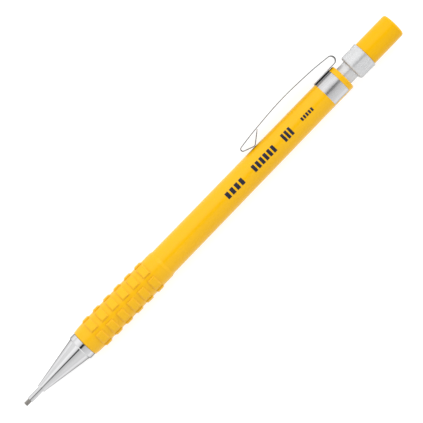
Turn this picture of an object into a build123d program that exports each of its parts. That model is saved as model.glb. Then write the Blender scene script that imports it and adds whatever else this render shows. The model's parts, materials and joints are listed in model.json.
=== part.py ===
"""Mechanical pencil for thick leads, with a moulded grip, a steel pocket clip and an eraser end.

Millimetres. The origin is on the pencil's axis at the front end of the lead guide pipe, +X runs
along the axis towards the push cap, +Y points to the pocket clip and +Z is up.
"""

from build123d import *

import os
from math import cos, radians, sin

# Lead and lead guide
LEAD_R = 0.65
LEAD_FRONT = -1.84
LEAD_REAR = 50.0
SPARE_FRONT = 55.0
SPARE_LENGTH = 60.0
SPARE_OFFSET = 0.67
PIPE_R = 0.87
PIPE_SEATED_R = 1.10
PIPE_BORE_R = 0.70
PIPE_REAR = 8.0
PIPE_FLANGE_R = 1.40
PIPE_FLANGE = 0.80
RETAINER_FRONT = 8.82
RETAINER_REAR = 11.6
RETAINER_BORE_R = 0.67

# Nose cone
CONE_FRONT = 4.29
CONE_FRONT_R = 1.28
CONE_LAND = 0.5
CONE_REAR = 19.85
CONE_REAR_R = 3.72
BASE_FRONT = 20.15
BASE_R = 4.05
PIPE_SEAT_R = 1.12
RETAINER_SEAT_R = 1.45
RETAINER_SEAT_REAR = 12.2
HEAD_BORE_R = 2.0
STOP_SHOULDER = 15.2
RING_BORE_R = 2.40
SHANK_REAR = 27.40
THREAD_CREST_R = 3.25
THREAD_ROOT_R = 3.00
THREAD_PITCH = 1.0
THREAD_TURNS = 4
THREAD_START = 22.9

# Barrel and grip
BARREL_FRONT = 21.86
BARREL_FRONT_R = 4.25
GRIP_R = 4.53
GRIP_RISE = ((23.3, 4.43), (25.0, 4.53))
GRIP_REAR = 52.4
NECK_X = 53.3
NECK_R = 4.27
BARREL_REAR = 125.45
BARREL_REAR_R = 4.10
THREAD_BORE_R = 3.32
THREAD_BORE_REAR = 28.40
BARREL_BORE_R = 2.95
PAD_ROWS = 6
PAD_COLUMNS = 6
PAD_FRONT = 25.57
PAD_PITCH = 4.14
PAD_LENGTH = 2.66
PAD_TOP_R = 4.92
PAD_ROOT_R = 4.30
PAD_BEVEL = 0.42
PAD_SIDE_BEVEL = 0.3
PAD_ANGLE = 45.0
PAD_SOFTNESS = 0.1

# Pocket clip: a band let into the barrel, and one folded strip of spring steel
BAND_FRONT = 118.2
BAND_REAR = 123.8
BAND_SEAT_R = 3.80
BAND_CLEARANCE = 0.03
BAND_KEY_ANGLE = 22.0
BRIDGE_TOP = 4.49
SHEET = 0.28
CLIP_HALF_WIDTH = 1.9
BEND_R = 1.26
BEND_X = 126.2
ROOT_LEVEL = BRIDGE_TOP - SHEET / 2
PIVOT_Y = ROOT_LEVEL + BEND_R
PIVOT_GAP = 0.04
BOW = ((119.8, 7.56), (108.6, 7.97), (97.5, 7.36), (91.4, 6.70))
BOW_END_SLOPE = 7.0
FOLD_R = 0.65
FOLD_TURN = 152.0
NUB_APPROACH = 2.86
NUB_R = 1.0
NUB_TURN = 58.0
FLICK = 4.1

# Lead clutch
JAW_COUNT = 3
JAW_PIVOT = 24.0
JAW_GAP = 0.05
JAW_SLIT = 0.30
HEAD_FRONT = 15.0
HEAD_R = 1.75
HEAD_SHOULDER = 16.0
HEAD_REAR = 17.4
STEM_R = 1.30
STEM_BORE_R = 0.75
GRIP_BORE_R = 0.67
GRIP_BORE_REAR = 18.4
STEM_REAR = 42.5
RING_FRONT = 16.2
RING_REAR = 18.4
RING_R = 2.25
RING_BORE = 1.55
RING_MOUTH = 1.78
RING_MOUTH_DEPTH = 0.8
SLEEVE_FRONT = 18.45
SLEEVE_R = 2.33
SLEEVE_BORE_R = 1.45
SLEEVE_FLANGE_FRONT = 27.42
SLEEVE_FLANGE_R = 3.28
SLEEVE_REAR = 28.38
SPRING_R = 1.90
SPRING_WIRE_R = 0.175
SPRING_TURNS = 7
SPRING_REAR = 40.0

# Lead magazine
COUPLING_FLANGE_R = 2.5
COUPLING_FLANGE = 1.2
COUPLING_R = 2.2
COUPLING_WEB_REAR = 43.2
COUPLING_REAR = 47.0
COUPLING_HOLE_R = 0.80
TUBE_R = 1.75
TUBE_BORE_R = 1.35
TUBE_REAR = 127.0
FIT = 0.02

# Eraser end
HOLDER_FRONT = 112.0
HOLDER_NECK_R = 2.86
HOLDER_BORE_R = 1.79
HOLDER_BORE_REAR = 127.5
COLLAR_FRONT = 128.4
COLLAR_ROUND = 0.8
COLLAR_R = 4.04
COLLAR_FLARE = 132.0
COLLAR_REAR_R = 4.18
COLLAR_REAR = 134.12
COLLAR_LIP = 0.12
CUP_FRONT = 129.8
CUP_R = 3.0
REFILL_HOLE_R = 1.40
SPIGOT_R = 3.35
SPIGOT_REAR = 138.0
ERASER_FRONT = 130.2
ERASER_REAR = 144.5
ERASER_R = 2.95
CAP_FRONT = 134.16
CAP_REAR = 146.0
CAP_R = 3.80
CAP_BORE_R = 3.38
CAP_BORE_REAR = 138.3
CAP_POCKET_R = 3.05
CAP_POCKET_REAR = 144.8
CAP_ROUND = 0.8
CAP_LIP = 0.12
CAP_DOME = 0.2
CAP_FLAT_R = 0.8


def outline(*corners):
    """Flat closed outline through (x, radius) corners, ready to be turned about the axis."""
    with BuildSketch(Plane.XY) as sketch:
        with BuildLine():
            Polyline(*corners, close=True)
        make_face()
    return sketch.sketch


def rims(piece, x, radius):
    """The round edges of a turned piece that lie at x with the given radius."""
    round_edges = piece.edges().filter_by(GeomType.CIRCLE)
    return round_edges.filter_by(
        lambda edge: abs(edge.center().X - x) < 0.01 and abs(edge.radius - radius) < 0.01
    )


def off_axis(edge):
    """How far the middle of an edge lies from the pencil's axis."""
    return Vector(0, edge.center().Y, edge.center().Z).length


def tube(x_front, x_rear, outer_r, bore_r):
    """Outline of a plain tube or, with a bore of zero, of a rod."""
    return outline((x_front, bore_r), (x_front, outer_r), (x_rear, outer_r), (x_rear, bore_r))


def band_section(inner_r, outer_r, key_angle):
    """Ring across the axis, open at the key that faces away from the clip."""
    reach = 2 * outer_r
    half_width = reach * sin(radians(key_angle)) / cos(radians(key_angle))
    with BuildSketch(Plane.YZ.offset(BAND_FRONT)) as section:
        Circle(outer_r)
        Circle(inner_r, mode=Mode.SUBTRACT)
        with BuildLine():
            Polyline((0, 0), (-reach, half_width), (-reach, -half_width), close=True)
        make_face(mode=Mode.SUBTRACT)
    return section.sketch


# ---------------------------------------------------------------- lead guide
with BuildPart() as guide_pipe:
    revolve(tube(0, CONE_FRONT, PIPE_R, PIPE_BORE_R), axis=Axis.X)
    revolve(tube(CONE_FRONT, PIPE_REAR, PIPE_SEATED_R, PIPE_BORE_R), axis=Axis.X)
    revolve(tube(PIPE_REAR, PIPE_REAR + PIPE_FLANGE, PIPE_FLANGE_R, PIPE_BORE_R), axis=Axis.X)
    chamfer(rims(guide_pipe, 0, PIPE_R), 0.06)

with BuildPart() as lead_retainer:
    revolve(tube(RETAINER_FRONT, RETAINER_REAR, PIPE_FLANGE_R, RETAINER_BORE_R), axis=Axis.X)
    chamfer(rims(lead_retainer, RETAINER_REAR, PIPE_FLANGE_R), 0.2)

with BuildPart() as lead:
    revolve(tube(LEAD_FRONT, LEAD_REAR, LEAD_R, 0), axis=Axis.X)
    fillet(rims(lead, LEAD_FRONT, LEAD_R), 0.12)


# ---------------------------------------------------------------- nose cone
def thread_corners():
    """Rounded-off thread of the shank, as evenly spaced grooves between crests."""
    corners = []
    for turn in range(THREAD_TURNS):
        groove = THREAD_START + turn * THREAD_PITCH
        corners.append((groove, THREAD_CREST_R))
        corners.append((groove + 0.3 * THREAD_PITCH, THREAD_ROOT_R))
        corners.append((groove + 0.5 * THREAD_PITCH, THREAD_ROOT_R))
        corners.append((groove + 0.8 * THREAD_PITCH, THREAD_CREST_R))
    return corners


with BuildPart() as nose_cone:
    cone_outline = outline(
        (CONE_FRONT, PIPE_SEAT_R),
        (CONE_FRONT, CONE_FRONT_R),
        (CONE_FRONT + CONE_LAND, CONE_FRONT_R),
        (CONE_REAR, CONE_REAR_R),
        (BASE_FRONT, BASE_R),
        (BARREL_FRONT - FIT, BASE_R),
        (BARREL_FRONT - FIT, THREAD_ROOT_R),
        (THREAD_START - 0.3, THREAD_ROOT_R),
        *thread_corners(),
        (SHANK_REAR - 0.2, THREAD_CREST_R),
        (SHANK_REAR, THREAD_ROOT_R),
        (SHANK_REAR, RING_BORE_R),
        (STOP_SHOULDER, RING_BORE_R),
        (STOP_SHOULDER, HEAD_BORE_R),
        (RETAINER_SEAT_REAR, HEAD_BORE_R),
        (RETAINER_SEAT_REAR, RETAINER_SEAT_R),
        (PIPE_REAR - FIT, RETAINER_SEAT_R),
        (PIPE_REAR - FIT, PIPE_SEAT_R),
    )
    revolve(cone_outline, axis=Axis.X)
    fillet(rims(nose_cone, CONE_FRONT, CONE_FRONT_R), 0.06)
    fillet(rims(nose_cone, BASE_FRONT, BASE_R), 0.06)
    fillet(rims(nose_cone, BARREL_FRONT - FIT, BASE_R), 0.12)


# ---------------------------------------------------------------- barrel with moulded grip
with BuildPart() as grip_pad:
    pad_outline = outline(
        (0, PAD_ROOT_R),
        (0, GRIP_R + 0.05),
        (PAD_BEVEL, PAD_TOP_R),
        (PAD_LENGTH - PAD_BEVEL, PAD_TOP_R),
        (PAD_LENGTH, GRIP_R + 0.05),
        (PAD_LENGTH, PAD_ROOT_R),
    )
    revolve(pad_outline, axis=Axis.X, revolution_arc=PAD_ANGLE)
    long_edges = grip_pad.edges().filter_by(GeomType.LINE).filter_by(Axis.X)
    chamfer(long_edges.group_by(off_axis)[-1], PAD_SIDE_BEVEL)
    fillet(grip_pad.edges().filter_by(lambda edge: off_axis(edge) > GRIP_R + 0.1), PAD_SOFTNESS)

with BuildPart() as barrel:
    barrel_outline = outline(
        (BARREL_FRONT, THREAD_BORE_R),
        (BARREL_FRONT, BARREL_FRONT_R),
        *GRIP_RISE,
        (GRIP_REAR, GRIP_R),
        (NECK_X, NECK_R),
        (BARREL_REAR, BARREL_REAR_R),
        (BARREL_REAR, BARREL_BORE_R),
        (THREAD_BORE_REAR, BARREL_BORE_R),
        (THREAD_BORE_REAR, THREAD_BORE_R),
    )
    revolve(barrel_outline, axis=Axis.X)
    fillet(rims(barrel, BARREL_FRONT, BARREL_FRONT_R), 0.3)
    fillet(rims(barrel, GRIP_REAR, GRIP_R) + rims(barrel, NECK_X, NECK_R), 0.5)
    fillet(rims(barrel, BARREL_REAR, BARREL_REAR_R), 0.45)
    pad_places = []
    for row in range(PAD_ROWS):
        for column in range(PAD_COLUMNS):
            turn = column * 360 / PAD_COLUMNS - PAD_ANGLE / 2
            pad_places.append(Location((PAD_FRONT + row * PAD_PITCH, 0, 0), (turn, 0, 0)))
    with Locations(*pad_places):
        add(grip_pad.part)
    band_seat = band_section(BAND_SEAT_R, BARREL_REAR_R + 0.5, BAND_KEY_ANGLE)
    extrude(band_seat, amount=BAND_REAR - BAND_FRONT, mode=Mode.SUBTRACT)


# ---------------------------------------------------------------- pocket clip
def clip_strip(path):
    """Strip of sheet steel seen edge-on along a path in the XY plane."""
    with BuildPart() as strip:
        with BuildSketch(Plane.XY):
            trace(path, line_width=SHEET)
        extrude(amount=CLIP_HALF_WIDTH, both=True)
    return strip.part


with BuildLine() as root_path:
    root_run = Line((BAND_REAR - 1.0, ROOT_LEVEL), (BEND_X, ROOT_LEVEL))
    JernArc(start=root_run @ 1, tangent=root_run % 1, radius=BEND_R, arc_size=90)

with BuildLine() as arm_path:
    upper_bend = JernArc((BEND_X + BEND_R, PIVOT_Y + PIVOT_GAP), (0, 1), BEND_R, 83)
    bow_end = (-cos(radians(BOW_END_SLOPE)), -sin(radians(BOW_END_SLOPE)))
    bow = Spline(upper_bend @ 1, *BOW, tangents=(upper_bend % 1, bow_end))
    fold = JernArc(bow @ 1, bow % 1, FOLD_R, FOLD_TURN)
    approach = Line(fold @ 1, (fold @ 1) + (fold % 1) * NUB_APPROACH)
    nub = JernArc(approach @ 1, approach % 1, NUB_R, NUB_TURN)
    Line(nub @ 1, (nub @ 1) + (nub % 1) * FLICK)

with BuildPart() as clip_arm:
    add(clip_strip(arm_path.line))

with BuildPart() as clip_band:
    inner_r = BAND_SEAT_R + BAND_CLEARANCE
    extrude(
        band_section(inner_r, BARREL_REAR_R, BAND_KEY_ANGLE + 0.6),
        amount=BAND_REAR - BAND_FRONT - BAND_CLEARANCE,
    )
    bridge_root = 3.2
    with BuildSketch(Plane.YZ.offset(BAND_FRONT)) as bridge_section:
        with Locations(((bridge_root + BRIDGE_TOP) / 2, 0)):
            Rectangle(BRIDGE_TOP - bridge_root, 2 * CLIP_HALF_WIDTH)
        with Locations(((bridge_root + BRIDGE_TOP) / 2 - SHEET, 0)):
            Rectangle(BRIDGE_TOP - bridge_root, 2 * (CLIP_HALF_WIDTH - SHEET), mode=Mode.SUBTRACT)
        Circle(inner_r, mode=Mode.SUBTRACT)
    extrude(amount=BAND_REAR - BAND_FRONT - BAND_CLEARANCE)
    with BuildSketch(Plane.YZ.offset(BAND_FRONT)) as bridge_hollow:
        with Locations(((bridge_root + BRIDGE_TOP) / 2 - SHEET, 0)):
            Rectangle(BRIDGE_TOP - bridge_root, 2 * (CLIP_HALF_WIDTH - SHEET))
    extrude(amount=BAND_REAR - BAND_FRONT, mode=Mode.SUBTRACT)
    add(clip_strip(root_path.line))


# ---------------------------------------------------------------- lead clutch
with BuildPart() as clutch_ring:
    ring_outline = outline(
        (RING_FRONT, RING_MOUTH),
        (RING_FRONT, RING_R),
        (RING_REAR, RING_R),
        (RING_REAR, RING_BORE),
        (RING_FRONT + RING_MOUTH_DEPTH, RING_BORE),
    )
    revolve(ring_outline, axis=Axis.X)

with BuildPart() as chuck_sleeve:
    revolve(tube(SLEEVE_FRONT, SLEEVE_REAR, SLEEVE_R, SLEEVE_BORE_R), axis=Axis.X)
    flange_outline = tube(SLEEVE_FLANGE_FRONT, SLEEVE_REAR, SLEEVE_FLANGE_R, SLEEVE_BORE_R)
    revolve(flange_outline, axis=Axis.X)

with BuildPart() as chuck_body:
    revolve(tube(JAW_PIVOT, STEM_REAR - FIT, STEM_R, STEM_BORE_R), axis=Axis.X)
    chamfer(rims(chuck_body, STEM_REAR - FIT, STEM_R), 0.1)


def chuck_jaw(index):
    """One of the chuck's fingers, a sector between two slits, facing away from the axis."""
    facing = index * 360 / JAW_COUNT
    with BuildPart() as jaw:
        jaw_outline = outline(
            (HEAD_FRONT, GRIP_BORE_R),
            (HEAD_FRONT, HEAD_R - 0.2),
            (HEAD_FRONT + 0.2, HEAD_R),
            (HEAD_SHOULDER, HEAD_R),
            (HEAD_REAR, STEM_R),
            (JAW_PIVOT - JAW_GAP, STEM_R),
            (JAW_PIVOT - JAW_GAP, STEM_BORE_R),
            (GRIP_BORE_REAR, STEM_BORE_R),
            (GRIP_BORE_REAR - 0.1, GRIP_BORE_R),
        )
        revolve(jaw_outline, axis=Axis.X)
        for side in (-1, 1):
            slit_angle = facing + side * 180 / JAW_COUNT
            across = Vector(0, -sin(radians(slit_angle)), cos(radians(slit_angle)))
            slit_face = Plane(origin=across * (-side * JAW_SLIT / 2), z_dir=across * side)
            split(bisect_by=slit_face, keep=Keep.BOTTOM)
    return jaw


chuck_jaws = [chuck_jaw(index) for index in range(JAW_COUNT)]

with BuildPart() as return_spring:
    coil_length = SPRING_REAR - SLEEVE_REAR - 2 * SPRING_WIRE_R
    with BuildLine():
        coil = Helix(
            pitch=coil_length / SPRING_TURNS,
            height=coil_length,
            radius=SPRING_R,
            center=(SLEEVE_REAR + SPRING_WIRE_R, 0, 0),
            direction=(1, 0, 0),
        )
    with BuildSketch(Plane(origin=coil @ 0, z_dir=coil % 0)):
        Circle(SPRING_WIRE_R)
    sweep(is_frenet=True)


# ---------------------------------------------------------------- lead magazine
with BuildPart() as tube_coupling:
    coupling_outline = outline(
        (SPRING_REAR, STEM_R + FIT),
        (SPRING_REAR, COUPLING_FLANGE_R),
        (SPRING_REAR + COUPLING_FLANGE, COUPLING_FLANGE_R),
        (SPRING_REAR + COUPLING_FLANGE, COUPLING_R),
        (COUPLING_REAR, COUPLING_R),
        (COUPLING_REAR, TUBE_R + FIT),
        (COUPLING_WEB_REAR, TUBE_R + FIT),
        (COUPLING_WEB_REAR, COUPLING_HOLE_R),
        (STEM_REAR, COUPLING_HOLE_R),
        (STEM_REAR, STEM_R + FIT),
    )
    revolve(coupling_outline, axis=Axis.X)

with BuildPart() as lead_tube:
    revolve(tube(COUPLING_WEB_REAR + FIT, TUBE_REAR, TUBE_R, TUBE_BORE_R), axis=Axis.X)


def spare_lead(side):
    """Spare lead lying in the magazine above (1) or below (-1) the axis."""
    with BuildPart() as rod:
        with BuildSketch(Plane.YZ.offset(SPARE_FRONT)):
            with Locations((0, side * SPARE_OFFSET)):
                Circle(LEAD_R)
        extrude(amount=SPARE_LENGTH)
    return rod


spare_leads = [spare_lead(1), spare_lead(-1)]

# ---------------------------------------------------------------- eraser end
with BuildPart() as eraser_holder:
    holder_outline = outline(
        (HOLDER_FRONT, HOLDER_BORE_R),
        (HOLDER_FRONT, HOLDER_NECK_R),
        (COLLAR_FRONT, HOLDER_NECK_R),
        (COLLAR_FRONT, COLLAR_R),
        (COLLAR_FLARE, COLLAR_R),
        (COLLAR_REAR - COLLAR_LIP, COLLAR_REAR_R),
        (COLLAR_REAR, COLLAR_REAR_R - COLLAR_LIP),
        (COLLAR_REAR, SPIGOT_R),
        (SPIGOT_REAR, SPIGOT_R),
        (SPIGOT_REAR, CUP_R),
        (CUP_FRONT, CUP_R),
        (CUP_FRONT, REFILL_HOLE_R),
        (HOLDER_BORE_REAR, REFILL_HOLE_R),
        (HOLDER_BORE_REAR, HOLDER_BORE_R),
    )
    revolve(holder_outline, axis=Axis.X)
    fillet(rims(eraser_holder, COLLAR_FRONT, COLLAR_R), COLLAR_ROUND)
    fillet(rims(eraser_holder, COLLAR_FRONT, HOLDER_NECK_R), 0.2)

with BuildPart() as eraser:
    revolve(tube(ERASER_FRONT, ERASER_REAR, ERASER_R, 0), axis=Axis.X)
    fillet(rims(eraser, ERASER_REAR, ERASER_R), 0.4)

with BuildPart() as push_cap:
    with BuildSketch(Plane.XY):
        with BuildLine():
            wall = Polyline(
                (CAP_POCKET_REAR, 0),
                (CAP_POCKET_REAR, CAP_POCKET_R),
                (CAP_BORE_REAR, CAP_POCKET_R),
                (CAP_BORE_REAR, CAP_BORE_R),
                (CAP_FRONT, CAP_BORE_R),
                (CAP_FRONT, CAP_R - CAP_LIP),
                (CAP_FRONT + CAP_LIP, CAP_R),
                (CAP_REAR - CAP_DOME - CAP_ROUND, CAP_R),
            )
            corner = JernArc(wall @ 1, (1, 0), CAP_ROUND, -90)
            dome = ThreePointArc(
                corner @ 1,
                (CAP_REAR - 0.25 * CAP_DOME, 0.65 * (CAP_R - CAP_ROUND)),
                (CAP_REAR, CAP_FLAT_R),
            )
            Polyline(dome @ 1, (CAP_REAR, 0), wall @ 0)
        make_face()
    revolve(axis=Axis.X)

# ---------------------------------------------------------------- export
pieces = {
    "guide_pipe": guide_pipe,
    "lead_retainer": lead_retainer,
    "lead": lead,
    "nose_cone": nose_cone,
    "barrel": barrel,
    "clip_band": clip_band,
    "clip_arm": clip_arm,
    "clutch_ring": clutch_ring,
    "chuck_sleeve": chuck_sleeve,
    "chuck_body": chuck_body,
    "return_spring": return_spring,
    "tube_coupling": tube_coupling,
    "lead_tube": lead_tube,
    "eraser_holder": eraser_holder,
    "eraser": eraser,
    "push_cap": push_cap,
}
for number, jaw in enumerate(chuck_jaws, start=1):
    pieces[f"chuck_jaw_{number}"] = jaw
for number, rod in enumerate(spare_leads, start=1):
    pieces[f"spare_lead_{number}"] = rod

os.makedirs("parts", exist_ok=True)
for name, piece in pieces.items():
    piece.part.label = name
    export_step(piece.part, f"parts/{name}.step")
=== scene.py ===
"""Looks of the mechanical pencil: materials, pocket clip, printed marks, spring, floor, light, camera.

Metres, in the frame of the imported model: origin at the front end of the guide pipe, +X towards the
push cap, +Y towards the pocket clip, +Z up. Values named with _MM are millimetres, angles are degrees.
"""

import json
import math

import bpy
from mathutils import Matrix, Vector
from mathutils.bvhtree import BVHTree


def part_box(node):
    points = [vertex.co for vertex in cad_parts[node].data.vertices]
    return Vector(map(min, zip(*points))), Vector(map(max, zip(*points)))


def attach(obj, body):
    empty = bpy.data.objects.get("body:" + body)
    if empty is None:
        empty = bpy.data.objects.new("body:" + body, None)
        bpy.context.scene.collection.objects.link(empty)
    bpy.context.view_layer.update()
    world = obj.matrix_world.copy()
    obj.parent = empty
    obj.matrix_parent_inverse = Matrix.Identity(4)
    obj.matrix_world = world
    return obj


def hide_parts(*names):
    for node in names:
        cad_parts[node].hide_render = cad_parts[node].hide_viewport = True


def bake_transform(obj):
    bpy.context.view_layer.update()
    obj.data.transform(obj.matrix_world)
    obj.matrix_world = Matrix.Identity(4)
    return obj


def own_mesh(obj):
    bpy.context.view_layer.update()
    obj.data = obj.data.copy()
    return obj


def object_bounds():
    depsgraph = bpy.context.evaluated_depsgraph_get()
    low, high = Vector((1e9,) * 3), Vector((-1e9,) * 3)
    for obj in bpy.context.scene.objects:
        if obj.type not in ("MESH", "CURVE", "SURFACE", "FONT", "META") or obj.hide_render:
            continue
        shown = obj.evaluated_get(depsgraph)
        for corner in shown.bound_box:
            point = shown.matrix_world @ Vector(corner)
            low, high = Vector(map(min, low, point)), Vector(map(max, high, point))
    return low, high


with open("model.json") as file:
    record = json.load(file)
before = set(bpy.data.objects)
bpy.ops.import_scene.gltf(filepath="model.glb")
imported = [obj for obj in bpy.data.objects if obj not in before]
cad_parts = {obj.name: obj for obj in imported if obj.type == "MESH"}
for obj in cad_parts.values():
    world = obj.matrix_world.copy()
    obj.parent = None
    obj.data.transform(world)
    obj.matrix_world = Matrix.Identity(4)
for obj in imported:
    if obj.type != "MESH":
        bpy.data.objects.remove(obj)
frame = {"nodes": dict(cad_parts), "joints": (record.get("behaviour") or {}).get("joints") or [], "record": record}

cad_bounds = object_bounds()
MM = 0.001

# Camera: straight above the lying pencil, with the picture turned against the pencil's axis
CAMERA_HEIGHT = 0.856
CAMERA_AIM = Vector((0.07286, 0.00023, 0.0))
CAMERA_TURN = 45.914
CAMERA_REACH = 20.0
SENSOR_MM = 36.0
PICTURE_WIDTH = 0.11793

# Materials
NOISE_MIDDLE = (0.3, 0.7)
EDGE_TONE = 0.16
SKIN_IOR = 1.1
SKIN_ROUGHNESS = 0.2
YELLOW_SKIN = (0.96, 0.93, 0.72)
CLEAR_SKIN = (0.905, 0.905, 0.905)
# Painted shade in the barrel's grooves: how far the occlusion reaches, and the occlusion level at which the colour
# is fully darkened
GROOVE_REACH_MM = 1.6
GROOVE_SHADE = 0.4
GRIP_EDGE_MM = (54.0, 52.0)
POLISH_EDGE_MM = (3.7, 3.75)

# Pocket clip
SHEET_MM = 0.28
CLIP_HALF_WIDTH_MM = 1.9
BEND_R_MM = 1.26
BEND_TURN = 83.0
BOW_MM = ((119.8, 7.56), (108.6, 7.97), (97.5, 7.36), (91.4, 6.70))
BOW_END_HEADING = 187.0
FOLD_R_MM = 0.65
FOLD_TURN = 152.0
NUB_APPROACH_MM = 2.86
NUB_R_MM = 1.0
NUB_TURN = 58.0
FLICK_MM = 4.1
EDGE_ROUND_MM = 0.045
END_SHARES = (0.0, 0.15, 0.4, 0.7, 1.0)
PROUD_SHARE = 0.02
CORNER_STEPS = 4
TIP_ROUND_MM = 0.7
BAND_WIDTH_MM = 5.57
BAND_MID_R_MM = 3.965
BAND_KEY_ANGLE = 22.6
BAND_STEPS = 48
BRIDGE_CORNER_MM = 0.1
BRIDGE_CORNER_STEPS = 6
WALL_SHARES = (0.04, 0.1, 0.5, 0.9, 0.96)

# Return spring, whose two end turns are closed up
SPRING_TURNS = 7
COIL_TURNS = SPRING_TURNS + 2
SPRING_R_MM = 1.90
WIRE_R_MM = 0.175
STEPS_PER_TURN = 32
WIRE_SIDES = 10

# Printed marks: (start, end, height, number of bars), all along the top of the barrel
MARKS_MM = ((78.4, 85.6, 2.0, 4), (89.0, 98.1, 2.2, 6), (100.9, 104.8, 2.6, 3), (108.3, 113.1, 1.1, 5))
MARK_GAP = 0.34
MARK_LIFT_MM = 0.02
MARK_DEPTH_MM = 0.04
MARK_ROWS = 17
MARK_COLUMNS = 7
PROBE_HEIGHT = 0.05

# Light: the sky is (angle about the pencil's axis from straight above, level)
FLOOR_HALF = 3.0
FLOOR_GLOW = 0.72
FLOOR_TONE = 0.42
SUN_STRENGTH = 1.2
SUN_FROM = Vector((0.5, 0.42, 0.76))
SUN_SPREAD = 50.0
SKY_STRENGTH = 1.25
STRIP_PINCH = 2.2
STRIP_FADE = (0.8, 0.92)
SKY = (
    (-180, 0.8),
    (-88, 0.8),
    (-60, 0.72),
    (-20, 0.6),
    (-12, 0.45),
    (-8, 0.02),
    (8, 0.02),
    (12, 0.6),
    (25, 0.86),
    (50, 1.05),
    (72, 1.05),
    (90, 0.85),
    (180, 0.85),
)


# ---------------------------------------------------------------- shader nodes
def shader_nodes(name, color, roughness, metallic=0.0):
    """New material with its Principled shader set, and its node tree."""
    material = bpy.data.materials.new(name)
    material.use_nodes = True
    shader = material.node_tree.nodes["Principled BSDF"]
    shader.inputs["Base Color"].default_value = (*color, 1.0)
    shader.inputs["Roughness"].default_value = roughness
    shader.inputs["Metallic"].default_value = metallic
    return material, shader, material.node_tree


def feed(tree, value, socket):
    """Link a socket to another one, or set it to a plain value."""
    if isinstance(value, bpy.types.NodeSocket):
        tree.links.new(value, socket)
    else:
        socket.default_value = value


def mixed(tree, kind, factor, first, second):
    """Mix of two colours (kind RGBA) or two numbers (kind FLOAT)."""
    mix = tree.nodes.new("ShaderNodeMix")
    mix.data_type = kind
    feed(tree, factor, mix.inputs["Factor"])
    feed(tree, first, mix.inputs["A"])
    feed(tree, second, mix.inputs["B"])
    return mix.outputs["Result"]


def ranged(tree, source, start, end, low=0.0, high=1.0):
    """Map a source from the range start to end to the range low to high."""
    span = tree.nodes.new("ShaderNodeMapRange")
    span.inputs["From Min"].default_value = start
    span.inputs["From Max"].default_value = end
    span.inputs["To Min"].default_value = low
    span.inputs["To Max"].default_value = high
    tree.links.new(source, span.inputs["Value"])
    return span.outputs["Result"]


def computed(tree, operation, *terms):
    """Result of a math node with the given terms, which are sockets or numbers."""
    node = tree.nodes.new("ShaderNodeMath")
    node.operation = operation
    for i, term in enumerate(terms):
        feed(tree, term, node.inputs[i])
    return node.outputs["Value"]


def grain(tree, scale_mm, stretch=(1, 1, 1), detail=3.0, seed=0.0):
    """Noise in the object's own space; scale_mm is the size of a grain, stretched along the axes."""
    coordinates = tree.nodes.new("ShaderNodeTexCoord")
    mapping = tree.nodes.new("ShaderNodeMapping")
    noise = tree.nodes.new("ShaderNodeTexNoise")
    mapping.inputs["Location"].default_value = (seed, seed, seed)
    mapping.inputs["Scale"].default_value = [1 / (scale_mm * MM * s) for s in stretch]
    noise.inputs["Scale"].default_value = 1.0
    noise.inputs["Detail"].default_value = detail
    tree.links.new(coordinates.outputs["Object"], mapping.inputs["Vector"])
    tree.links.new(mapping.outputs["Vector"], noise.inputs["Vector"])
    return noise.outputs["Fac"]


def spread(tree, noise, low, high):
    """Map the middle of a noise to the range from low to high."""
    return ranged(tree, noise, *NOISE_MIDDLE, low, high)


def tint(tree, shader, noise, color, amount):
    """Let the base colour drift by amount to either side of color."""
    dark = [channel * (1 - amount) for channel in color]
    light = [min(1.0, channel * (1 + amount)) for channel in color]
    drift = mixed(tree, "RGBA", spread(tree, noise, 0.0, 1.0), (*dark, 1.0), (*light, 1.0))
    tree.links.new(drift, shader.inputs["Base Color"])


def bump(tree, shader, noise, depth_mm):
    """Relief of depth_mm from a noise between 0 and 1."""
    relief = tree.nodes.new("ShaderNodeBump")
    relief.inputs["Strength"].default_value = 1.0
    relief.inputs["Distance"].default_value = depth_mm * MM
    tree.links.new(noise, relief.inputs["Height"])
    tree.links.new(relief.outputs["Normal"], shader.inputs["Normal"])


def along_axis(tree, start_mm, end_mm, axis="X"):
    """Mask that rises from 0 at start_mm to 1 at end_mm along an axis."""
    coordinates = tree.nodes.new("ShaderNodeTexCoord")
    split = tree.nodes.new("ShaderNodeSeparateXYZ")
    tree.links.new(coordinates.outputs["Object"], split.inputs["Vector"])
    return ranged(tree, split.outputs[axis], start_mm * MM, end_mm * MM)


def tinted_skin(shader, tone):
    """Clear skin over the colour, which deepens it towards the piece's outline."""
    shader.inputs["Coat Weight"].default_value = 1.0
    shader.inputs["Coat Roughness"].default_value = SKIN_ROUGHNESS
    shader.inputs["Coat IOR"].default_value = SKIN_IOR
    shader.inputs["Coat Tint"].default_value = (*tone, 1.0)


def darker_outline(shader):
    """Dim the metallic reflections towards the piece's outline."""
    shader.inputs["Specular Tint"].default_value = (EDGE_TONE, EDGE_TONE, EDGE_TONE, 1.0)


def painted_groove_shade(tree, shader, painted_shade_color):
    """Paint shade into the base colour: it goes to the painted shade colour in the grooves between raised parts of
    the same piece, where ambient occlusion finds them.
    """
    occlusion = tree.nodes.new("ShaderNodeAmbientOcclusion")
    occlusion.inputs["Distance"].default_value = GROOVE_REACH_MM * MM
    occlusion.only_local = True
    opening = ranged(tree, occlusion.outputs["AO"], GROOVE_SHADE, 1.0)
    plain = shader.inputs["Base Color"].links[0].from_socket
    shaded = mixed(tree, "RGBA", opening, (*painted_shade_color, 1.0), plain)
    tree.links.new(shaded, shader.inputs["Base Color"])


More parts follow.
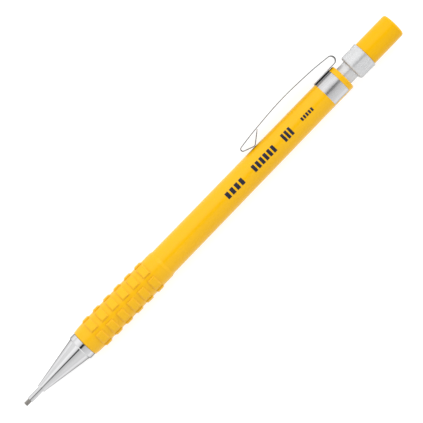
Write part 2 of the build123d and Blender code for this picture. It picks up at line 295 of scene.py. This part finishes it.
# ---------------------------------------------------------------- materials
def barrel_plastic():
    """Glossy warm yellow moulding, a little more matt where the fingers hold it, with painted shade in the grooves
    between its raised parts.
    """
    color = (0.865, 0.48, 0.002)
    material, shader, tree = shader_nodes("barrel_plastic", color, 0.22)
    tint(tree, shader, grain(tree, 6.0, (3, 1, 1)), color, 0.02)
    fine = grain(tree, 0.12, detail=4.0)
    bump(tree, shader, fine, 0.002)
    held = along_axis(tree, *GRIP_EDGE_MM)
    rough = mixed(tree, "FLOAT", held, spread(tree, fine, 0.2, 0.26), spread(tree, fine, 0.26, 0.34))
    tree.links.new(rough, shader.inputs["Roughness"])
    shader.inputs["Specular IOR Level"].default_value = 0.42
    tinted_skin(shader, YELLOW_SKIN)
    # painted shade: the base colour darkens to a deep orange in the grooves, from ambient occlusion
    painted_groove_shade(tree, shader, (0.7, 0.28, 0.001))
    return material


def cap_plastic():
    """Glossy yellow of the push cap, slightly cooler than the barrel."""
    color = (0.84, 0.46, 0.001)
    material, shader, tree = shader_nodes("cap_plastic", color, 0.24)
    tint(tree, shader, grain(tree, 4.0, (3, 1, 1), seed=3.0), color, 0.02)
    fine = grain(tree, 0.12, detail=4.0, seed=3.0)
    bump(tree, shader, fine, 0.002)
    tree.links.new(spread(tree, fine, 0.2, 0.28), shader.inputs["Roughness"])
    shader.inputs["Specular IOR Level"].default_value = 0.2
    tinted_skin(shader, YELLOW_SKIN)
    return material


def clear_plastic():
    """Milky clear moulding of the eraser holder, with faint flow marks."""
    color = (0.85, 0.855, 0.865)
    material, shader, tree = shader_nodes("clear_plastic", color, 0.12, metallic=0.3)
    flow = grain(tree, 1.4, (4, 1, 1), seed=7.0)
    tint(tree, shader, flow, color, 0.02)
    tree.links.new(spread(tree, flow, 0.16, 0.3), shader.inputs["Roughness"])
    bump(tree, shader, grain(tree, 0.5, (3, 1, 1), seed=8.0), 0.006)
    shader.inputs["IOR"].default_value = 1.49
    shader.inputs["Transmission Weight"].default_value = 0.3
    darker_outline(shader)
    tinted_skin(shader, CLEAR_SKIN)
    return material


def turned_chrome(name, tone, line_mm, roughness):
    """Bright plating over turned metal: fine rings round the axis and faint smears."""
    color = (tone, tone, tone * 1.012)
    material, shader, tree = shader_nodes(name, color, roughness, metallic=1.0)
    rings = grain(tree, line_mm, (1, 400, 400), detail=2.0)
    smears = grain(tree, 2.5, (2, 1, 1), seed=5.0)
    tint(tree, shader, smears, color, 0.02)
    tree.links.new(spread(tree, smears, roughness * 0.7, roughness * 1.5), shader.inputs["Roughness"])
    bump(tree, shader, rings, 0.0012)
    darker_outline(shader)
    return material


def clip_steel(name, roughness):
    """Plated spring sheet with long faint rolling lines, polished where it stands out beside the barrel."""
    color = (0.62, 0.62, 0.63)
    material, shader, tree = shader_nodes(name, color, roughness, metallic=1.0)
    rolled = grain(tree, 0.1, (60, 1, 1), detail=3.0)
    tint(tree, shader, grain(tree, 2.0, seed=9.0), color, 0.03)
    satin = spread(tree, rolled, roughness * 0.8, roughness * 1.3)
    polished = spread(tree, rolled, 0.09, 0.15)
    rough = mixed(tree, "FLOAT", along_axis(tree, *POLISH_EDGE_MM, "Y"), satin, polished)
    tree.links.new(rough, shader.inputs["Roughness"])
    bump(tree, shader, rolled, 0.001)
    darker_outline(shader)
    return material


def graphite():
    """Grey-black lead with a slight metallic sheen and extrusion streaks."""
    color = (0.24, 0.225, 0.21)
    material, shader, tree = shader_nodes("graphite", color, 0.45, metallic=0.35)
    streaks = grain(tree, 0.08, (12, 1, 1), detail=4.0)
    tint(tree, shader, streaks, color, 0.25)
    tree.links.new(spread(tree, streaks, 0.35, 0.6), shader.inputs["Roughness"])
    bump(tree, shader, streaks, 0.008)
    return material


def brass():
    """Turned brass of the clutch parts, with tool rings and slight tarnish."""
    color = (0.72, 0.47, 0.17)
    material, shader, tree = shader_nodes("brass", color, 0.25, metallic=1.0)
    tint(tree, shader, grain(tree, 1.2), color, 0.12)
    rings = grain(tree, 0.06, (1, 200, 200))
    tree.links.new(spread(tree, rings, 0.18, 0.36), shader.inputs["Roughness"])
    bump(tree, shader, rings, 0.003)
    return material


def spring_steel():
    """Drawn wire of the return spring."""
    color = (0.5, 0.5, 0.51)
    material, shader, tree = shader_nodes("spring_steel", color, 0.28, metallic=1.0)
    drawn = grain(tree, 0.15)
    tint(tree, shader, drawn, color, 0.1)
    tree.links.new(spread(tree, drawn, 0.2, 0.38), shader.inputs["Roughness"])
    bump(tree, shader, drawn, 0.002)
    return material


def satin_plastic(name, color, seed):
    """Satin moulded plastic or soft rubber with a fine even grain."""
    material, shader, tree = shader_nodes(name, color, 0.5)
    tint(tree, shader, grain(tree, 2.0, seed=seed), color, 0.04)
    fine = grain(tree, 0.1, detail=4.0, seed=seed)
    tree.links.new(spread(tree, fine, 0.42, 0.65), shader.inputs["Roughness"])
    bump(tree, shader, fine, 0.006)
    return material


def print_ink():
    """Dark navy pad-printed ink, slightly uneven in density."""
    color = (0.008, 0.008, 0.022)
    material, shader, tree = shader_nodes("print_ink", color, 0.4)
    density = grain(tree, 0.25, detail=4.0, seed=11.0)
    tint(tree, shader, density, color, 0.3)
    tree.links.new(spread(tree, density, 0.3, 0.5), shader.inputs["Roughness"])
    return material


def floor_paper():
    """Plain pale sweep under the pencil, with the faintest mottling."""
    color = (FLOOR_TONE, FLOOR_TONE, FLOOR_TONE)
    material, shader, tree = shader_nodes("floor_paper", color, 0.85)
    tint(tree, shader, grain(tree, 40.0), color, 0.005)
    shader.inputs["Specular IOR Level"].default_value = 0.1
    shader.inputs["Emission Color"].default_value = (1.0, 1.0, 1.0, 1.0)
    shader.inputs["Emission Strength"].default_value = FLOOR_GLOW
    return material


materials = {
    "barrel_plastic": barrel_plastic(),
    "cap_plastic": cap_plastic(),
    "clear_plastic": clear_plastic(),
    "nose_chrome": turned_chrome("nose_chrome", 0.66, 0.05, 0.08),
    "pipe_steel": turned_chrome("pipe_steel", 0.62, 0.08, 0.14),
    "clip_steel": clip_steel("clip_steel", 0.14),
    "band_steel": clip_steel("band_steel", 0.27),
    "graphite": graphite(),
    "retainer_rubber": satin_plastic("retainer_rubber", (0.03, 0.03, 0.032), 1.0),
    "brass": brass(),
    "spring_steel": spring_steel(),
    "white_plastic": satin_plastic("white_plastic", (0.8, 0.8, 0.78), 2.0),
    "eraser_rubber": satin_plastic("eraser_rubber", (0.86, 0.85, 0.82), 4.0),
    "print_ink": print_ink(),
    "floor_paper": floor_paper(),
}

for subpart in frame["record"]["subparts"]:
    node = frame["nodes"][subpart["node"]]
    node.data.materials.clear()
    node.data.materials.append(materials[subpart["material_slot"]])


# ---------------------------------------------------------------- shapes
def joint_named(name):
    """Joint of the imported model."""
    return next(joint for joint in frame["joints"] if joint["name"] == name)


def new_piece(name, points, faces, material, smooth=True):
    """Mesh object from points in metres."""
    mesh = bpy.data.meshes.new(name)
    mesh.from_pydata([tuple(p) for p in points], [], faces)
    mesh.validate()
    mesh.update()
    mesh.polygons.foreach_set("use_smooth", [smooth] * len(mesh.polygons))
    piece = bpy.data.objects.new(name, mesh)
    bpy.context.scene.collection.objects.link(piece)
    mesh.materials.append(material)
    return piece


def skin(loops):
    """Points and faces of a tube through equal loops, with flat ends."""
    count = len(loops[0])
    points = [p for loop in loops for p in loop]
    faces = []
    for i in range(len(loops) - 1):
        for j in range(count):
            k = (j + 1) % count
            faces.append((i * count + j, i * count + k, (i + 1) * count + k, (i + 1) * count + j))
    faces.append(tuple(range(count))[::-1])
    faces.append(tuple(range((len(loops) - 1) * count, len(loops) * count)))
    return points, faces


def towards(heading):
    """Unit vector of a heading in the XY plane."""
    return Vector((math.cos(math.radians(heading)), math.sin(math.radians(heading))))


def arc_run(start, heading, radius, turn, steps=14):
    """Points of an arc that leaves start at heading and turns left, and its last heading."""
    centre = start + radius * towards(heading + 90)
    run = [centre + radius * towards(heading - 90 + turn * i / steps) for i in range(1, steps + 1)]
    return run, heading + turn


def straight_run(start, heading, length, steps=6):
    """Points of a straight run from start at heading."""
    step = towards(heading) * length / steps
    return [start + step * (i + 1) for i in range(steps)]


def smooth_run(start, heading, stations, end_heading, steps=16):
    """Points of a smooth curve from start through the stations, with set end headings."""
    knots = [start, *stations]
    slopes = [(after - before).normalized() for before, after in zip(knots, knots[2:])]
    slopes = [towards(heading), *slopes, towards(end_heading)]
    run = []
    for i in range(len(knots) - 1):
        a, b = knots[i], knots[i + 1]
        reach = (b - a).length
        for step in range(1, steps + 1):
            t = step / steps
            point = (2 * t**3 - 3 * t**2 + 1) * a + (t**3 - 2 * t**2 + t) * reach * slopes[i]
            run.append(point + (3 * t**2 - 2 * t**3) * b + (t**3 - t**2) * reach * slopes[i + 1])
    return run


def rounded_off(reach, distance):
    """How far a quarter round of radius reach draws in, at a distance from the end."""
    lost = max(0.0, reach - distance)
    return reach - math.sqrt(max(reach**2 - lost**2, 0.0))


def sheet_loops(path, across, half_width, half_thick, edge_round, tip_round=0.0):
    """Loops of a softened rectangle carried along a path; the far end is rounded in its width.

    The flat faces stand proud of half_thick by PROUD_SHARE of the edge's rounding, under a micron.
    """
    travelled = [0.0]
    for a, b in zip(path, path[1:]):
        travelled.append(travelled[-1] + (b - a).length)
    loops = []
    for i, point in enumerate(path):
        ahead = path[min(i + 1, len(path) - 1)] - path[max(i - 1, 0)]
        normal = across.cross(ahead.normalized()).normalized()
        to_tip = travelled[-1] - travelled[i]
        inset = rounded_off(edge_round, min(travelled[i], to_tip))
        w = half_width - inset - rounded_off(tip_round, to_tip) - edge_round
        h = half_thick - inset - edge_round * (1 - PROUD_SHARE)
        loop = []
        for corner, (sx, sy) in enumerate(((1, 1), (-1, 1), (-1, -1), (1, -1))):
            for step in range(CORNER_STEPS):
                angle = math.radians(90 * (corner + step / (CORNER_STEPS - 1)))
                x = sx * w + edge_round * math.cos(angle)
                y = sy * h + edge_round * math.sin(angle)
                loop.append(point + across * x + normal * y)
        loops.append(loop)
    return loops


def with_soft_ends(path, edge_round):
    """The path with extra points close to both ends, where the section is rounded off."""
    start, end = path[0], path[-1]
    first, last = (path[1] - start).normalized(), (path[-2] - end).normalized()
    offsets = [edge_round * share for share in END_SHARES]
    return [start + first * o for o in offsets] + path[1:-1] + [end + last * o for o in offsets[::-1]]


# ---------------------------------------------------------------- pocket clip
pivot = Vector(joint_named("clip_flex")["pos_m"]) / MM
band_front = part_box("clip_band")[0].x / MM


def strip_path():
    """Middle line of the clip's strip: root, rear bend, bow, folded tip and nub."""
    path = [Vector((band_front + BAND_WIDTH_MM, pivot.y - BEND_R_MM))]
    path += straight_run(path[0], 0, pivot.x - BEND_R_MM - path[0].x)
    run, heading = arc_run(path[-1], 0, BEND_R_MM, 90 + BEND_TURN, steps=32)
    path += run
    path += smooth_run(path[-1], heading, [Vector(p) for p in BOW_MM], BOW_END_HEADING)
    run, heading = arc_run(path[-1], BOW_END_HEADING, FOLD_R_MM, FOLD_TURN, steps=20)
    path += run
    path += straight_run(path[-1], heading, NUB_APPROACH_MM)
    run, heading = arc_run(path[-1], heading, NUB_R_MM, NUB_TURN)
    path += run
    path += straight_run(path[-1], heading, FLICK_MM, steps=24)
    return [Vector((p.x, p.y, 0.0)) for p in path]


def band_path():
    """Middle line of the band's section: round the barrel and over the raised bridge."""
    top_y = pivot.y - BEND_R_MM
    wall_z = CLIP_HALF_WIDTH_MM - SHEET_MM / 2
    foot = math.degrees(math.asin(wall_z / BAND_MID_R_MM))
    path = []
    for i in range(BAND_STEPS + 1):
        angle = math.radians(foot + (180 - BAND_KEY_ANGLE - foot) * (1 - i / BAND_STEPS))
        path.append(Vector((0, BAND_MID_R_MM * math.cos(angle), -BAND_MID_R_MM * math.sin(angle))))
    wall_foot, wall_top = path[-1].y, top_y - BRIDGE_CORNER_MM
    for share in WALL_SHARES:
        path.append(Vector((0, wall_foot + (wall_top - wall_foot) * share, -wall_z)))
    for i in range(BRIDGE_CORNER_STEPS + 1):
        angle = math.radians(90 * i / BRIDGE_CORNER_STEPS)
        y = wall_top + BRIDGE_CORNER_MM * math.sin(angle)
        z = -wall_z + BRIDGE_CORNER_MM - BRIDGE_CORNER_MM * math.cos(angle)
        path.append(Vector((0, y, z)))
    corner_z = -wall_z + BRIDGE_CORNER_MM
    for share in WALL_SHARES[:3]:
        path.append(Vector((0, top_y, corner_z * (1 - share))))
    mirrored = [Vector((0, p.y, -p.z)) for p in path[::-1]]
    return path + mirrored


def make_strip():
    """Root, bend, bow and tip in one strip, in place of the imported clip arm."""
    path = with_soft_ends(strip_path(), EDGE_ROUND_MM)
    across = Vector((0, 0, 1))
    loops = sheet_loops(path, across, CLIP_HALF_WIDTH_MM, SHEET_MM / 2, EDGE_ROUND_MM, TIP_ROUND_MM)
    points, faces = skin(loops)
    strip = new_piece("clip_strip", [p * MM for p in points], faces, materials["clip_steel"])
    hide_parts("clip_arm")
    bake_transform(strip)


def make_band():
    """Band let into the barrel, with the raised bridge that carries the strip's root."""
    path = with_soft_ends(band_path(), EDGE_ROUND_MM)
    middle = Vector((band_front + BAND_WIDTH_MM / 2, 0, 0))
    across = Vector((1, 0, 0))
    points, faces = skin(sheet_loops(path, across, BAND_WIDTH_MM / 2, SHEET_MM / 2, EDGE_ROUND_MM))
    placed = [(p + middle) * MM for p in points]
    band = new_piece("clip_band_shell", placed, faces, materials["band_steel"])
    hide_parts("clip_band")
    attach(band, "barrel")


make_strip()
make_band()


# ---------------------------------------------------------------- return spring
def coil_point(t, front, rear):
    """Centre of the wire at share t of the coil, and the direction away from the axis."""
    closed = 1 / COIL_TURNS
    open_share = min(max((t - closed / 2) / (1 - closed), 0.0), 1.0)
    closed_share = (min(t, closed / 2) + max(t - 1 + closed / 2, 0.0)) / closed
    x = front + (rear - front - 2 * WIRE_R_MM) * open_share + 2 * WIRE_R_MM * closed_share
    angle = 2 * math.pi * COIL_TURNS * t
    radial = Vector((0, math.cos(angle), math.sin(angle)))
    return Vector((x, 0, 0)) + radial * SPRING_R_MM, radial


def make_spring():
    """Coil with its end turns closed up, in place of the imported spring."""
    low, high = (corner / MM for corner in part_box("return_spring"))
    front, rear = low.x + WIRE_R_MM, high.x - WIRE_R_MM
    steps = STEPS_PER_TURN * COIL_TURNS
    loops = []
    for i in range(steps + 1):
        centre, radial = coil_point(i / steps, front, rear)
        loop = []
        for j in range(WIRE_SIDES):
            around = 2 * math.pi * j / WIRE_SIDES
            along = Vector((WIRE_R_MM * math.sin(around), 0, 0))
            loop.append(centre + radial * WIRE_R_MM * math.cos(around) + along)
        loops.append(loop)
    points, faces = skin(loops)
    spring = new_piece("return_spring_coil", [p * MM for p in points], faces, materials["spring_steel"])
    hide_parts("return_spring")
    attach(spring, "barrel")
    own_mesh(spring)


make_spring()


# ---------------------------------------------------------------- printed marks
def barrel_surface():
    """Function that gives the barrel's height above a point of the ground plan."""
    mesh = frame["nodes"]["barrel"].data
    tree = BVHTree.FromPolygons([v.co for v in mesh.vertices], [p.vertices for p in mesh.polygons])

    def height(x, y):
        hit = tree.ray_cast(Vector((x, y, PROBE_HEIGHT)), Vector((0, 0, -1)))[0]
        return hit.z

    return height


def bar_points(height, left_mm, wide_mm, tall_mm):
    """Upper and then lower grid of points of one bar that follows the barrel's surface."""
    points = []
    for lift in (MARK_LIFT_MM, MARK_LIFT_MM - MARK_DEPTH_MM):
        for i in range(MARK_COLUMNS):
            for j in range(MARK_ROWS):
                x = (left_mm + wide_mm * i / (MARK_COLUMNS - 1)) * MM
                y = tall_mm * (j / (MARK_ROWS - 1) - 0.5) * MM
                points.append(Vector((x, y, height(x, y) + lift * MM)))
    return points


def bar_faces(upper):
    """Faces of one bar, whose first point has the number upper."""
    lower = upper + MARK_ROWS * MARK_COLUMNS
    faces = []
    for i in range(MARK_COLUMNS - 1):
        for j in range(MARK_ROWS - 1):
            a = upper + i * MARK_ROWS + j
            faces.append((a, a + MARK_ROWS, a + MARK_ROWS + 1, a + 1))
            b = lower + i * MARK_ROWS + j
            faces.append((b, b + 1, b + MARK_ROWS + 1, b + MARK_ROWS))
    rim = [i * MARK_ROWS for i in range(MARK_COLUMNS)]
    rim += [(MARK_COLUMNS - 1) * MARK_ROWS + j for j in range(1, MARK_ROWS)]
    rim += [i * MARK_ROWS + MARK_ROWS - 1 for i in range(MARK_COLUMNS - 2, -1, -1)]
    rim += [j for j in range(MARK_ROWS - 2, 0, -1)]
    for a, b in zip(rim, rim[1:] + rim[:1]):
        faces.append((upper + a, lower + a, lower + b, upper + b))
    return faces


def make_marks():
    """Plain bars in place of lettering, as a thin layer of ink on top of the barrel."""
    height = barrel_surface()
    points, faces = [], []
    for start, end, tall, bars in MARKS_MM:
        pitch = (end - start) / bars
        for bar in range(bars):
            left = start + bar * pitch + pitch * MARK_GAP / 2
            faces += bar_faces(len(points))
            points += bar_points(height, left, pitch * (1 - MARK_GAP), tall)
    marks = new_piece("printed_marks", points, faces, materials["print_ink"], smooth=False)
    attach(marks, "barrel")


make_marks()


# ---------------------------------------------------------------- floor, light, camera
def make_floor():
    """Large pale floor that the pencil lies on."""
    level = cad_bounds[0][2]
    corners = [(x * FLOOR_HALF, y * FLOOR_HALF, level) for x, y in ((-1, -1), (1, -1), (1, 1), (-1, 1))]
    floor = new_piece("floor", corners, [(0, 1, 2, 3)], materials["floor_paper"], smooth=False)


def make_sky():
    """Soft white surroundings with a dark strip straight above, which fades out past the pencil's ends."""
    world = bpy.data.worlds.new("studio")
    bpy.context.scene.world = world
    world.use_nodes = True
    tree = world.node_tree
    coordinates = tree.nodes.new("ShaderNodeTexCoord")
    split = tree.nodes.new("ShaderNodeSeparateXYZ")
    tree.links.new(coordinates.outputs["Generated"], split.inputs["Vector"])
    angle = computed(tree, "ARCTAN2", split.outputs["Y"], split.outputs["Z"])
    endwise = computed(tree, "ABSOLUTE", split.outputs["X"])
    pinch = computed(tree, "MULTIPLY_ADD", endwise, STRIP_PINCH, 1.0)
    pinched = computed(tree, "MULTIPLY", angle, pinch)
    shades = tree.nodes.new("ShaderNodeValToRGB")
    tree.links.new(ranged(tree, pinched, -math.pi, math.pi), shades.inputs["Fac"])
    stops = shades.color_ramp.elements
    stops.remove(stops[1])
    stops[0].position = 0.0
    stops[0].color = (SKY[0][1], SKY[0][1], SKY[0][1], 1.0)
    for degrees, level in SKY[1:]:
        stop = stops.new((degrees + 180) / 360)
        stop.color = (level, level, level, 1.0)
    ends = ranged(tree, endwise, *STRIP_FADE)
    lifted = computed(tree, "MAXIMUM", shades.outputs["Color"], ends)
    background = tree.nodes["Background"]
    tree.links.new(lifted, background.inputs["Color"])
    background.inputs["Strength"].default_value = SKY_STRENGTH


def make_sun():
    """Mild soft light from the cap end on the clip's side, which the glossy parts don't mirror."""
    data = bpy.data.lights.new("sun", "SUN")
    data.energy = SUN_STRENGTH
    data.angle = math.radians(SUN_SPREAD)
    sun = bpy.data.objects.new("sun", data)
    sun.rotation_mode = "QUATERNION"
    sun.rotation_quaternion = SUN_FROM.to_track_quat("Z", "Y")
    sun.visible_glossy = False
    bpy.context.scene.collection.objects.link(sun)


def make_camera():
    """Long lens straight above, its picture turned so that the pencil runs corner to corner."""
    data = bpy.data.cameras.new("camera")
    data.sensor_width = SENSOR_MM
    data.lens = SENSOR_MM * CAMERA_HEIGHT / PICTURE_WIDTH
    data.clip_end = CAMERA_REACH
    camera = bpy.data.objects.new("camera", data)
    place = Matrix.Translation(CAMERA_AIM + Vector((0, 0, CAMERA_HEIGHT)))
    camera.matrix_world = place @ Matrix.Rotation(math.radians(-CAMERA_TURN), 4, "Z")
    bpy.context.scene.collection.objects.link(camera)
    bpy.context.scene.camera = camera


make_floor()
make_sky()
make_sun()
make_camera()
bpy.context.scene.view_settings.view_transform = "Standard"
